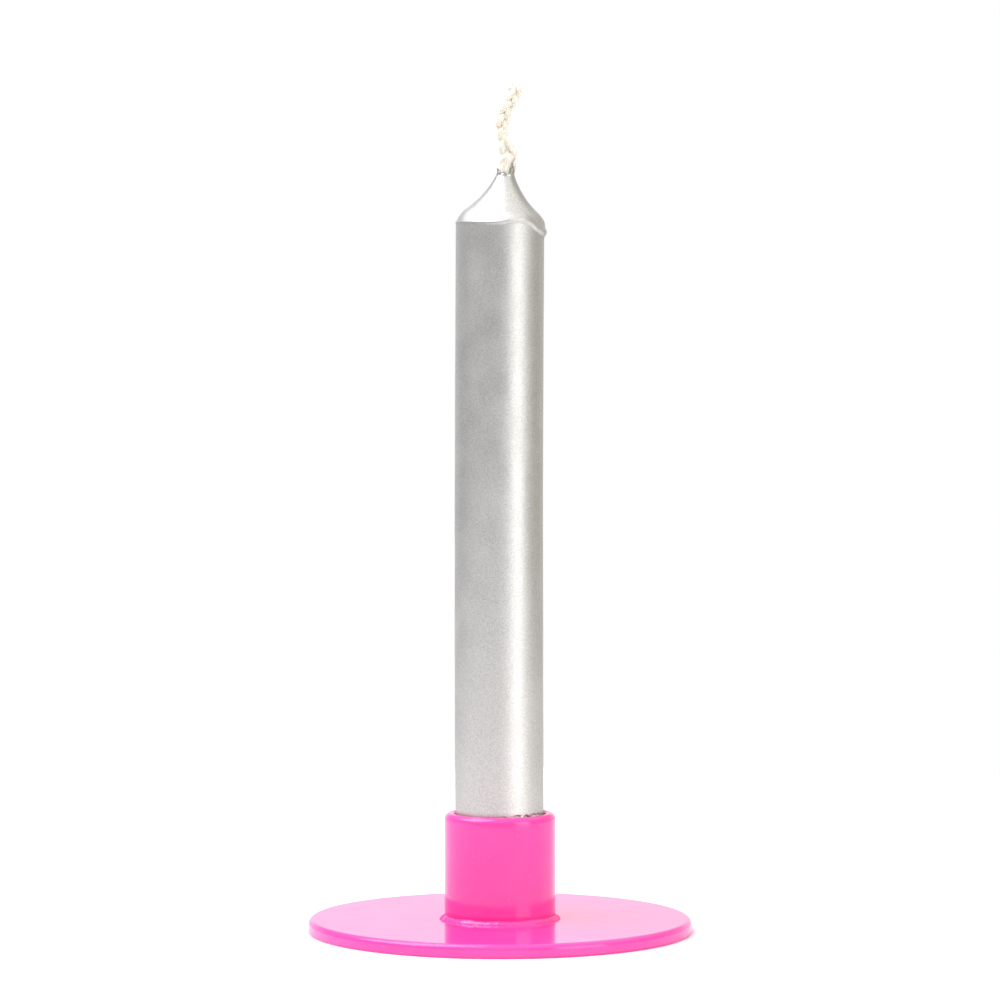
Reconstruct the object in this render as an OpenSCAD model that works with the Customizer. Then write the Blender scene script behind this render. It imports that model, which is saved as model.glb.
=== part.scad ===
// Dinner-style mini candle with a metallic coat, standing in a painted disc holder.
// The floor is z = 0 and +Z points up the wick. The disc's centre is the origin.

/* [Holder] */
// Diameter of the disc that stands on the table
base_d = 56.4; // [48:0.2:64]
// Thickness of the disc
base_t = 2; // [1.8:0.1:3]
// Rounding of the disc's upper edge
base_top_round = 0.8; // [0.4:0.05:1]
// Rounding of the disc's lower edge
base_foot_round = 0.3; // [0.1:0.05:0.5]
// Height of the socket tube above the disc
socket_h = 15.5; // [12:0.5:24]
// Wall of the socket tube
socket_wall = 1.45; // [1.35:0.05:2]
// Rounding of the tube's rim on the outside
rim_outer_round = 0.9; // [0.4:0.05:0.9]
// Rounding of the tube's rim on the inside
rim_inner_round = 0.4; // [0.2:0.05:0.4]
// Leg of the weld bead around the foot of the tube
bead_leg = 0.8; // [0.5:0.05:1.2]

/* [Candle] */
// Diameter over the metallic coat
candle_d = 13; // [12.6:0.1:13.4]
// Length of the straight shaft, from its foot to the middle of the ledge under the tip
shaft_h = 101.5; // [60:0.5:140]
// Gap all round between the candle and the socket
candle_gap = 0.2; // [0.15:0.05:0.3]
// Thickness of the metallic coat
coat_t = 0.2; // [0.15:0.05:0.3]

/* [Tip] */
// Height of the drawn tip's outline, from its foot inside the shaft to the neck
tip_h = 8; // [7.7:0.1:8.2]
// How far the outline's foot lies below the ledge
tip_sink = 1.1; // [1:0.05:1.2]
// Lean of the tip away from upright
tip_lean = 4.4; // [3.4:0.2:5]
// How far the lean has moved the tip's foot to the side
tip_shift = 0.16; // [0.1:0.02:0.2]
// Radius of the outline's foot, wider than the shaft, which trims it
tip_foot_r = 6.76; // [6.7:0.02:6.8]
// Radius of the rounded shoulder
shoulder_round = 4.2; // [4:0.1:4.4]
// Angle that the shoulder turns through before it flares in
shoulder_sweep = 51.4; // [50.8:0.2:52]
// Radius of the hollow flare between shoulder and neck
flare_round = 12.7; // [12.3:0.1:13]
// Tilt of the ledge under the tip
ledge_tilt = 6.5; // [5:0.5:7]
// Least width of the ledge
ledge_w = 0.1; // [0.1:0.05:0.2]

/* [Wick] */
// Diameter of one cotton strand
strand_d = 0.6; // [0.4:0.02:0.62]
// Length of wick that stands out of the neck
wick_out = 14.2; // [13.2:0.2:16]
// Height of one full turn of the plait
plait_pitch = 7; // [6:0.5:8]
// How far a strand swings to each side
plait_swing = 0.72; // [0.7:0.02:0.76]
// How far a strand passes in front and behind
plait_depth = 0.44; // [0.43:0.01:0.46]
// Bore that the wick fills in the shaft
wick_bore_d = 2.24; // [2.2:0.02:2.3]
// How far the wick kinks back above the neck
kink_back = 0.65; // [0:0.05:0.9]
// How far its end hooks over again
kink_over = 1.7; // [0:0.05:1.8]

/* [Hidden] */

$fn = 96;
cut_margin = 1;

// Holder
socket_bore_r = candle_d / 2 + candle_gap;
socket_r = socket_bore_r + socket_wall;
rim_z = base_t + socket_h;

// Candle: its foot rests on the disc, inside the tube
foot_z = base_t;
ledge_z = foot_z + shaft_h;
tip_foot_z = ledge_z - tip_sink;
neck_z = tip_foot_z + tip_h;
// Height on the candle's axis about which the tip leans
lean_z = tip_foot_z - tip_shift / tan(tip_lean);

// The wick's bore is a little wider in the tip, so that its two stretches meet cleanly
tip_bore_d = wick_bore_d + 0.16;
tip_bore_z = lean_z - 0.3;
shaft_bore_z = lean_z + 0.2;

// Wick: straight in the wax, plaited from a little below the neck
strand_inset = 0.5;
plait_from_z = ledge_z + 1;
plait_steps = 12;
plait_start = 30;
plait_step_h = plait_pitch / plait_steps;
plait_rings = floor((neck_z + wick_out - plait_from_z) / plait_step_h);
strand_sides = 6;
// Heights above the neck at which each bend of the wick starts and ends
kink_back_from = 3.4;
kink_back_to = 5.8;
kink_over_from = 7.8;
kink_over_to = 12.6;

// ---- Holder ----

// A square corner rounded outwards, as points around the centre c
function corner(c, r, from, to) =
  [for (k = [0:12]) let (a = from + (to - from) * k / 12) c + r * [cos(a), sin(a)]];

module base_plate() {
  rim_r = base_d / 2;
  top_c = [rim_r - base_top_round, base_t - base_top_round];
  foot_c = [rim_r - base_foot_round, base_foot_round];
  color([0.96, 0.33, 0.62])
    rotate_extrude()
      union() {
        square([rim_r - base_top_round, base_t]);
        translate([0, base_foot_round])
          square([rim_r, base_t - base_top_round - base_foot_round]);
        square([rim_r - base_foot_round, base_t - base_top_round]);
        translate(top_c)
          circle(r = base_top_round);
        translate(foot_c)
          circle(r = base_foot_round);
      }
}

// Quarter disc that rounds a wall's upper corner about c: side is 1 outside and -1 inside
module wall_round(c, r, side) {
  intersection() {
    translate(c)
      circle(r = r);
    translate([side > 0 ? c[0] : c[0] - r, c[1]])
      square(r);
  }
}

module socket_tube() {
  outer_c = [socket_r - rim_outer_round, rim_z - rim_outer_round];
  inner_c = [socket_bore_r + rim_inner_round, rim_z - rim_inner_round];
  color([0.96, 0.33, 0.62])
    rotate_extrude()
      union() {
        translate([socket_bore_r, base_t])
          square([socket_wall, socket_h - rim_outer_round]);
        translate([socket_bore_r, base_t])
          square([socket_wall - rim_outer_round, socket_h - rim_inner_round]);
        translate([inner_c[0], base_t])
          square([outer_c[0] - inner_c[0], socket_h]);
        wall_round(outer_c, rim_outer_round, 1);
        wall_round(inner_c, rim_inner_round, -1);
      }
}

// Three-cornered bead that joins the tube's foot to the disc
module weld_bead() {
  color([0.9, 0.28, 0.56])
    rotate_extrude()
      translate([socket_r, base_t])
        polygon([[0, 0], [bead_leg, 0], [0, bead_leg]]);
}

// ---- Candle ----

// Turns its children about the candle's axis at height z, towards +X
module tilted(angle, z) {
  translate([0, 0, z])
    rotate([0, angle, 0])
      translate([0, 0, -z])
        children();
}

module leaned() {
  tilted(tip_lean, lean_z)
    children();
}

// Outline of the tip, taken in all round by inset: shoulder arc, flare arc, flat neck
module tip_outline(inset) {
  shoulder_c = [tip_foot_r - shoulder_round, 0];
  joint = shoulder_c + shoulder_round * [cos(shoulder_sweep), sin(shoulder_sweep)];
  flare_c = joint + flare_round * [cos(shoulder_sweep), sin(shoulder_sweep)];
  flare_r = flare_round + inset;
  top = tip_h - inset;
  neck_turn = asin((flare_c[1] - top) / flare_r);
  polygon(concat(
    [[0, 0]],
    corner(shoulder_c, shoulder_round - inset, 0, shoulder_sweep),
    corner(flare_c, flare_r, 180 + shoulder_sweep, 180 + neck_turn),
    [[0, top]]
  ));
}

// Shaft and tip as one solid, taken in all round by inset. The shaft ends in a tilted
// plane, and the tip stands on it, trimmed to leave a ledge all round.
module candle_form(inset) {
  difference() {
    translate([0, 0, foot_z])
      cylinder(r = candle_d / 2 - inset, h = shaft_h + candle_d);
    tilted(ledge_tilt, ledge_z)
      translate([-candle_d, -candle_d, ledge_z - inset])
        cube([2 * candle_d, 2 * candle_d, 3 * candle_d]);
  }
  intersection() {
    leaned()
      translate([0, 0, tip_foot_z])
        rotate_extrude()
          tip_outline(inset);
    translate([0, 0, foot_z])
      cylinder(r = candle_d / 2 - ledge_w - inset, h = shaft_h + candle_d);
  }
}

// The wick's way through the wax: up the middle, then along the leaned tip
module wick_way() {
  translate([0, 0, foot_z - cut_margin])
    cylinder(d = wick_bore_d, h = shaft_bore_z - foot_z + cut_margin);
  leaned()
    translate([0, 0, tip_bore_z])
      cylinder(d = tip_bore_d, h = neck_z - tip_bore_z + cut_margin);
}

module wax_core() {
  color([0.97, 0.95, 0.9])
    difference() {
      candle_form(coat_t);
      wick_way();
    }
}

module silver_coat() {
  color([0.72, 0.72, 0.7])
    difference() {
      candle_form(0);
      candle_form(coat_t);
      wick_way();
    }
}

// ---- Wick ----

function ease(z, from, to) =
  let (s = min(1, max(0, (z - from) / (to - from))))
  s * s * (3 - 2 * s);

// Sideways place of the wick's middle at height z
function wick_x(z) =
  tan(tip_lean) * max(0, min(z, neck_z + kink_back_from) - lean_z)
  - kink_back * ease(z, neck_z + kink_back_from, neck_z + kink_back_to)
  + kink_over * ease(z, neck_z + kink_over_from, neck_z + kink_over_to);

// Middle of one strand at height z: a flat three-strand plait, straight below its start
function strand_at(third, z) =
  let (turn = plait_start + 120 * third + 360 * max(0, z - plait_from_z) / plait_pitch)
  [wick_x(z) + plait_swing * sin(turn), plait_depth * sin(2 * turn), z];

function strand_line(third) = concat(
  [strand_at(third, foot_z + strand_inset), strand_at(third, lean_z)],
  [for (k = [0:plait_rings]) strand_at(third, plait_from_z + k * plait_step_h)]
);

function unit(v) = v / norm(v);

function ring_at(line, k) =
  let (
    last = len(line) - 1,
    along = unit(line[min(k + 1, last)] - line[max(k - 1, 0)]),
    side = unit(cross([0, 1, 0], along)),
    front = cross(along, side)
  )
  [for (i = [0:strand_sides - 1])
    let (a = 360 * i / strand_sides)
    line[k] + strand_d / 2 * (cos(a) * side + sin(a) * front)];

function tube_faces(rings, sides) = concat(
  [[for (i = [0:sides - 1]) i]],
  [for (k = [0:rings - 2], i = [0:sides - 1])
    let (a = k * sides + i, b = k * sides + (i + 1) % sides)
    [a, a + sides, b + sides, b]],
  [[for (i = [sides - 1:-1:0]) (rings - 1) * sides + i]]
);

module wick_strand(third) {
  line = strand_line(third);
  color([0.98, 0.92, 0.8])
    polyhedron(
      points = [for (k = [0:len(line) - 1]) each ring_at(line, k)],
      faces = tube_faces(len(line), strand_sides),
      convexity = 8
    );
}

module wick_strand_left() {
  wick_strand(0);
}

module wick_strand_middle() {
  wick_strand(1);
}

module wick_strand_right() {
  wick_strand(2);
}

base_plate();
socket_tube();
weld_bead();
wax_core();
silver_coat();
wick_strand_left();
wick_strand_middle();
wick_strand_right();
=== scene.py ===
"""Looks for a slim silver candle that stands in a pink enamelled disc holder.

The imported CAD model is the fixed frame. Sizes are in metres, +Z is up the candle,
and -Y faces the camera. Three classes build the object (the holder, the candle and
its wick), small frozen dataclasses hold the finishes, and one class sets the studio.
"""

import logging
import math
from dataclasses import dataclass, field
from enum import Enum
from typing import Callable, Sequence

import bpy
import numpy as np
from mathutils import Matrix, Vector
from mathutils.noise import noise, turbulence


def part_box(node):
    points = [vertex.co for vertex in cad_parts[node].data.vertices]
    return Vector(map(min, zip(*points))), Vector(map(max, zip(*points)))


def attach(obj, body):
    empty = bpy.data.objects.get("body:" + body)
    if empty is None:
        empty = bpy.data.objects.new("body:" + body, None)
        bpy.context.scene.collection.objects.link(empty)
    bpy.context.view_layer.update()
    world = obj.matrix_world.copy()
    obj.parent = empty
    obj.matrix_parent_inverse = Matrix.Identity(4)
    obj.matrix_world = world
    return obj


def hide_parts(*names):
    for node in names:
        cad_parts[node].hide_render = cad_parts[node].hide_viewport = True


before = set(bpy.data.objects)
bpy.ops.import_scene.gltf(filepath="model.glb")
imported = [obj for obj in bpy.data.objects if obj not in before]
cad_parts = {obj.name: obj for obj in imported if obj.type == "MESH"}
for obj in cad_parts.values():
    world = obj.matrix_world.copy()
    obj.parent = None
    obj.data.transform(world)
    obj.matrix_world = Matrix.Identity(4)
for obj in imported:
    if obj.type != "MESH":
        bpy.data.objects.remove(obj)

LOG = logging.getLogger("candle")
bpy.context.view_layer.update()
MM = 0.001
SPECK_DENSITY = 1.2e4
SPECK_RADIUS = 0.09 * MM
TURN = 2 * math.pi

Colour = tuple[float, float, float]
Point = tuple[float, float, float]


class Slot(Enum):
    """Material slots."""

    ENAMEL = "holder_enamel"
    WAX = "candle_wax"
    SILVER = "silver_lacquer"
    COTTON = "wick_cotton"


class Body(Enum):
    """Bodies that a piece can ride on."""

    HOLDER = "holder"
    CANDLE = "candle"


# ---------------------------------------------------------------- small helpers


def smooth(value: float, low: float, high: float) -> float:
    """Eases from 0 at low to 1 at high.

    Args:
        value: Place between the two ends, or past them.
        low: Where the step starts.
        high: Where the step ends.

    Returns:
        The eased share, from 0 to 1.
    """
    s = min(1.0, max(0.0, (value - low) / (high - low)))
    return s * s * (3 - 2 * s)


def bump(value: float, middle: float, reach: float) -> float:
    """Soft hill: 1 at the middle, 0 from reach away."""
    return 1 - smooth(abs(value - middle), 0, reach)


def angle_gap(a: float, b: float) -> float:
    """Smallest gap between two angles, in radians."""
    return abs((a - b + math.pi) % TURN - math.pi)


def arc(centre: Sequence[float], radius: float, start: float, end: float, steps: int) -> list[tuple[float, float]]:
    """Points on an arc in the (radius, height) plane.

    Args:
        centre: Middle of the arc.
        radius: Its radius.
        start: First angle in degrees, from the outward direction upwards.
        end: Last angle in degrees.
        steps: Number of chords.

    Returns:
        steps + 1 points.
    """
    angles = [math.radians(start + (end - start) * k / steps) for k in range(steps + 1)]
    return [(centre[0] + radius * math.cos(a), centre[1] + radius * math.sin(a)) for a in angles]


def stretch(start: Sequence[float], end: Sequence[float], steps: int) -> list[tuple[float, float]]:
    """Points on a straight run from just past start to just short of end."""
    shares = [k / steps for k in range(1, steps)]
    return [(start[0] + (end[0] - start[0]) * s, start[1] + (end[1] - start[1]) * s) for s in shares]


def grid_mesh(
    name: str, rows: Sequence[np.ndarray], closed: bool = False, caps: bool = False
) -> bpy.types.Mesh:
    """Joins rings of points into one mesh of quads that faces outwards.

    Args:
        name: Name of the mesh.
        rows: Rings with the same number of points, each going round counter-clockwise from above.
        closed: Whether the last ring is joined to the first, for a hollow section.
        caps: Whether a fan around its middle closes the first and the last ring.

    Returns:
        The mesh, smooth shaded, with a UV map of turn and height share.
    """
    count, columns = len(rows), len(rows[0])
    points = [tuple(p) for ring in rows for p in ring]
    faces: list[tuple[int, ...]] = []
    for k in range(count if closed else count - 1):
        low, high = k * columns, ((k + 1) % count) * columns
        for i in range(columns):
            j = (i + 1) % columns
            faces.append((low + i, low + j, high + j, high + i))
    if caps:
        for k, turned in ((0, True), (count - 1, False)):
            middle = len(points)
            points.append(tuple(np.mean(rows[k], axis=0)))
            for i in range(columns):
                a, b = k * columns + i, k * columns + (i + 1) % columns
                faces.append((b, a, middle) if turned else (a, b, middle))
    mesh = bpy.data.meshes.new(name)
    mesh.from_pydata(points, [], faces)
    layer = mesh.uv_layers.new(name="surface")
    for polygon in mesh.polygons:
        for loop in polygon.loop_indices:
            vertex = mesh.loops[loop].vertex_index
            column, row = vertex % columns, min(vertex // columns, count)
            u = 1.0 if column == 0 and polygon.vertices[0] % columns == columns - 1 else column / columns
            layer.data[loop].uv = (u, row / count)
    mesh.shade_smooth()
    mesh.validate()
    mesh.update()
    return mesh


def ring(place: Callable[[float], Point], columns: int) -> np.ndarray:
    """One ring of points, from a rule that gives a point for each angle."""
    return np.array([place(TURN * i / columns) for i in range(columns)])


def plain_ring(radius: float, height: float, columns: int) -> np.ndarray:
    """A level round ring about the Z axis."""
    a = np.arange(columns) * TURN / columns
    return np.column_stack((radius * np.cos(a), radius * np.sin(a), np.full(columns, height)))


def add_piece(name: str, mesh: bpy.types.Mesh, finish: bpy.types.Material) -> bpy.types.Object:
    """Puts a mesh into the scene at the origin with one finish.

    Args:
        name: Name of the piece.
        mesh: Its mesh, with its place in its points.
        finish: Material for all its faces.

    Returns:
        The new object.
    """
    mesh.materials.clear()
    mesh.materials.append(finish)
    piece = bpy.data.objects.new(name, mesh)
    bpy.context.scene.collection.objects.link(piece)
    return piece


def settle(piece: bpy.types.Object, body: Body, slot: Slot, *nodes: str) -> bpy.types.Object:
    """Fixes a piece to its body and hides the CAD nodes it stands for.

    Args:
        piece: The finished piece.
        body: Body that it moves with.
        slot: Its material slot; not used.
        nodes: CAD nodes that it takes the place of.

    Returns:
        The same piece.
    """
    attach(piece, body.value)
    if nodes:
        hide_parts(*nodes)
    LOG.info("%s rides on %s, %d faces", piece.name, body.value, len(piece.data.polygons))
    return piece


# ---------------------------------------------------------------- materials


class Wiring:
    """Adds and joins the nodes of one material, always reading Object coordinates."""

    def __init__(self, name: str) -> None:
        """Starts a material with one Principled shader."""
        self.material = bpy.data.materials.new(name)
        self.material.use_nodes = True
        self.tree = self.material.node_tree
        self.shader = self.tree.nodes["Principled BSDF"]
        self.where = self.tree.nodes.new("ShaderNodeTexCoord").outputs["Object"]

    def fix(self, **values: object) -> None:
        """Sets constants on the shader's own sockets; an underscore stands for a space."""
        for name, value in values.items():
            self.shader.inputs[name.replace("_", " ")].default_value = value

    def join(self, source: bpy.types.NodeSocket, target: bpy.types.NodeSocket) -> None:
        """Links two sockets."""
        self.tree.links.new(source, target)

    def scaled(self, x: float, y: float, z: float) -> bpy.types.NodeSocket:
        """Object coordinates stretched along each axis.

        Args:
            x: Stretch along X.
            y: Stretch along Y.
            z: Stretch along Z.

        Returns:
            The coordinates' socket.
        """
        node = self.tree.nodes.new("ShaderNodeMapping")
        node.inputs["Scale"].default_value = (x, y, z)
        self.join(self.where, node.inputs["Vector"])
        return node.outputs["Vector"]

    def noise(
        self, grain: float, detail: float = 3.0, rough: float = 0.5, vector: bpy.types.NodeSocket | None = None
    ) -> bpy.types.NodeSocket:
        """Noise whose lumps are about one grain across.

        Args:
            grain: Size of a lump in metres.
            detail: Number of finer layers.
            rough: Weight of the finer layers.
            vector: Coordinates other than plain Object coordinates.

        Returns:
            The grey value's socket.
        """
        node = self.tree.nodes.new("ShaderNodeTexNoise")
        node.inputs["Scale"].default_value = 1 / grain
        node.inputs["Detail"].default_value = detail
        node.inputs["Roughness"].default_value = rough
        self.join(vector or self.where, node.inputs["Vector"])
        return node.outputs["Fac"]

    def cells(self, grain: float) -> bpy.types.NodeSocket:
        """A random grey for each flake-sized cell.

        Args:
            grain: Size of a cell in metres.

        Returns:
            The grey value's socket.
        """
        node = self.tree.nodes.new("ShaderNodeTexVoronoi")
        node.inputs["Scale"].default_value = 1 / grain
        self.join(self.where, node.inputs["Vector"])
        split = self.tree.nodes.new("ShaderNodeSeparateColor")
        self.join(node.outputs["Color"], split.inputs["Color"])
        return split.outputs["Red"]

    def spread(
        self, source: bpy.types.NodeSocket, low: float, high: float, to_low: float, to_high: float
    ) -> bpy.types.NodeSocket:
        """Maps a grey value from one range onto another, held at the ends.

        Args:
            source: The grey value.
            low: Start of the range it has.
            high: End of that range.
            to_low: Value at low.
            to_high: Value at high.

        Returns:
            The new value's socket.
        """
        node = self.tree.nodes.new("ShaderNodeMapRange")
        for name, value in zip(("From Min", "From Max", "To Min", "To Max"), (low, high, to_low, to_high)):
            node.inputs[name].default_value = value
        self.join(source, node.inputs["Value"])
        return node.outputs["Result"]

    def blend(
        self,
        share: bpy.types.NodeSocket,
        first: Colour | bpy.types.NodeSocket,
        second: Colour | bpy.types.NodeSocket,
    ) -> bpy.types.NodeSocket:
        """Mixes two colours, either fixed or from sockets, by a grey value.

        Args:
            share: Share of the second colour.
            first: Colour at 0.
            second: Colour at 1.

        Returns:
            The colour's socket.
        """
        node = self.tree.nodes.new("ShaderNodeMix")
        node.data_type = "RGBA"
        self.join(share, node.inputs["Factor"])
        for name, value in (("A", first), ("B", second)):
            target = next(s for s in node.inputs if s.name == name and s.type == "RGBA")
            if isinstance(value, bpy.types.NodeSocket):
                self.join(value, target)
            else:
                target.default_value = (*value, 1)
        return next(s for s in node.outputs if s.type == "RGBA")

    def math(
        self, operation: str, first: bpy.types.NodeSocket, second: bpy.types.NodeSocket | float
    ) -> bpy.types.NodeSocket:
        """One Math node.

        Args:
            operation: Its operation.
            first: First value.
            second: Second value.

        Returns:
            The result's socket.
        """
        node = self.tree.nodes.new("ShaderNodeMath")
        node.operation = operation
        self.join(first, node.inputs[0])
        if isinstance(second, bpy.types.NodeSocket):
            self.join(second, node.inputs[1])
        else:
            node.inputs[1].default_value = second
        return node.outputs["Value"]

    def relief(self, *layers: tuple[bpy.types.NodeSocket, float]) -> None:
        """Stacks bump layers, each a height's grey value and its depth in metres.

        Args:
            layers: Pairs of grey value and depth, the first one lowest.
        """
        normal = None
        for height, depth in layers:
            node = self.tree.nodes.new("ShaderNodeBump")
            node.inputs["Distance"].default_value = depth
            self.join(height, node.inputs["Height"])
            if normal is not None:
                self.join(normal, node.inputs["Normal"])
            normal = node.outputs["Normal"]
        self.join(normal, self.shader.inputs["Normal"])

    def colour(self, source: bpy.types.NodeSocket) -> None:
        """Feeds the shader's base colour."""
        self.join(source, self.shader.inputs["Base Color"])

    def roughness(self, source: bpy.types.NodeSocket) -> None:
        """Feeds the shader's roughness."""
        self.join(source, self.shader.inputs["Roughness"])


@dataclass(frozen=True)
class PinkEnamel:
    """Glossy stove enamel on steel: soft orange peel, faint smears, hairline scratches."""

    body: Colour = (0.93, 0.052, 0.37)
    thin: Colour = (0.94, 0.09, 0.43)
    dust: Colour = (0.95, 0.35, 0.6)
    dust_grain: float = 0.28 * MM
    dust_height: float = 0.002 * MM
    scratch_depth: float = 0.002 * MM
    smear_roughness: tuple[float, float] = (0.06, 0.14)
    peel: float = 1.6 * MM
    peel_depth: float = 0.0016 * MM

    def material(self, name: str, scratched: float = 0.4) -> bpy.types.Material:
        """Builds the enamel.

        Args:
            name: Name of the material.
            scratched: How strongly hairline scratches show, from 0 to 1.

        Returns:
            The material.
        """
        w = Wiring(name)
        w.fix(IOR=1.5)
        cloud = w.noise(9 * MM, 2.0)
        speck = w.spread(w.noise(self.dust_grain, 1.0), 0.7, 0.78, 0.0, 0.25)
        tint = w.blend(w.spread(cloud, 0.3, 0.7, 0.0, 0.35), self.body, self.thin)
        w.colour(w.blend(speck, tint, self.dust))
        lines = w.noise(0.5 * MM, 2.0, 0.6, w.scaled(0.06, 1.0, 1.0))
        hairs = w.spread(lines, 0.64, 0.67, 0.0, scratched)
        smears = w.spread(w.noise(5 * MM, 4.0, 0.65), 0.35, 0.75, *self.smear_roughness)
        w.roughness(w.math("ADD", smears, w.math("MULTIPLY", hairs, 0.25)))
        w.relief(
            (w.noise(self.peel, 1.0), self.peel_depth),
            (hairs, -self.scratch_depth),
            (speck, self.dust_height),
        )
        return w.material


@dataclass(frozen=True)
class SilverLacquer:
    """Silver-flake lacquer over wax: satin metal with a fine sparkling grain."""

    bright: Colour = (0.76, 0.756, 0.745)
    dull: Colour = (0.48, 0.478, 0.47)
    worn: Colour = (0.72, 0.71, 0.68)
    edge: Colour = (0.62, 0.62, 0.65)
    flake: float = 0.08 * MM
    grain: float = 0.17 * MM
    roughness: float = 0.45
    polish: float = 0.17
    polish_from: tuple[float, float] = (106 * MM, 110 * MM)

    def material(self, name: str) -> bpy.types.Material:
        """Builds the lacquer.

        Args:
            name: Name of the material.

        Returns:
            The material.
        """
        w = Wiring(name)
        w.fix(Metallic=1.0, Specular_Tint=(*self.edge, 1), Coat_Weight=0.12, Coat_Roughness=0.2, Coat_IOR=1.45)
        flakes = w.cells(self.flake)
        grain = w.noise(self.grain, 2.0, 0.6)
        cloud = w.noise(6 * MM, 3.0)
        mix = w.math("ADD", w.math("MULTIPLY", flakes, 0.5), w.math("MULTIPLY", grain, 0.5))
        body = w.blend(w.spread(mix, 0.2, 0.75, 0.0, 1.0), self.dull, self.bright)
        worn = w.spread(cloud, 0.35, 0.7, 0.0, 0.16)
        w.colour(w.blend(worn, body, self.worn))
        height = w.tree.nodes.new("ShaderNodeSeparateXYZ")
        w.join(w.where, height.inputs[0])
        polished = w.spread(height.outputs["Z"], *self.polish_from, 0.0, self.polish)
        satin = w.spread(cloud, 0.3, 0.7, self.roughness - 0.04, self.roughness + 0.05)
        w.roughness(w.math("SUBTRACT", satin, polished))
        w.relief((w.noise(4 * MM, 2.0), 0.012 * MM), (flakes, 0.003 * MM), (grain, 0.005 * MM))
        return w.material


@dataclass(frozen=True)
class BareWax:
    """White paraffin wax: soft, slightly translucent, faintly crazed."""

    body: Colour = (0.93, 0.92, 0.89)
    shade: Colour = (0.86, 0.84, 0.78)

    def material(self, name: str) -> bpy.types.Material:
        """Builds the wax.

        Args:
            name: Name of the material.

        Returns:
            The material.
        """
        w = Wiring(name)
        w.fix(Subsurface_Weight=0.35, Subsurface_Radius=(1.0, 0.8, 0.6), Subsurface_Scale=0.8 * MM, IOR=1.44)
        cloud = w.noise(2.5 * MM, 4.0, 0.6)
        w.colour(w.blend(w.spread(cloud, 0.35, 0.7, 0.0, 1.0), self.body, self.shade))
        w.roughness(w.spread(w.noise(0.8 * MM), 0.3, 0.7, 0.38, 0.6))
        w.relief((w.noise(0.5 * MM, 4.0, 0.6), 0.03 * MM), (w.noise(0.12 * MM), 0.006 * MM))
        return w.material


@dataclass(frozen=True)
class WaxedCotton:
    """Unbleached cotton yarn soaked with wax: cream, with a painted tan crease shade laid in random noise patches,
    fine lengthwise fibre.
    """

    body: Colour = (1.0, 0.965, 0.88)
    straw: Colour = (1.0, 0.93, 0.8)
    # hollow: painted shade, a tan that stands in for the shade in the creases between plies and strands
    hollow: Colour = (0.98, 0.72, 0.46)

    def material(self, name: str) -> bpy.types.Material:
        """Builds the cotton.

        Args:
            name: Name of the material.

        Returns:
            The material.
        """
        w = Wiring(name)
        w.fix(
            Subsurface_Weight=0.25,
            Subsurface_Radius=(1.0, 0.8, 0.6),
            Subsurface_Scale=0.1 * MM,
            Sheen_Weight=0.6,
            Sheen_Roughness=0.4,
            Roughness=0.8,
            Specular_IOR_Level=0.3,
        )
        fibre = w.noise(0.07 * MM, 3.0, 0.6, w.scaled(1.0, 1.0, 0.22))
        # painted crease shade: the tan hollow colour mixed in by random noise patches, not by where the creases
        # really are
        painted_crease_shade = w.noise(0.9 * MM, 3.0, 0.6)
        pale = w.blend(w.spread(fibre, 0.3, 0.7, 0.0, 0.5), self.body, self.straw)
        w.colour(w.blend(w.spread(painted_crease_shade, 0.48, 0.7, 0.0, 0.8), pale, self.hollow))
        w.relief((fibre, 0.03 * MM), (w.noise(0.3 * MM), 0.02 * MM))
        return w.material


@dataclass(frozen=True)
class TableTop:
    """Plain white laminate under the object."""

    body: Colour = (0.9, 0.9, 0.9)
    mottle: Colour = (0.92, 0.92, 0.92)

    def material(self, name: str) -> bpy.types.Material:
        """Builds the laminate.

        Args:
            name: Name of the material.

        Returns:
            The material.
        """
        w = Wiring(name)
        w.fix(Roughness=0.6, IOR=1.4)
        w.colour(w.blend(w.noise(40 * MM), self.body, self.mottle))
        return w.material


# ---------------------------------------------------------------- holder


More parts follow.
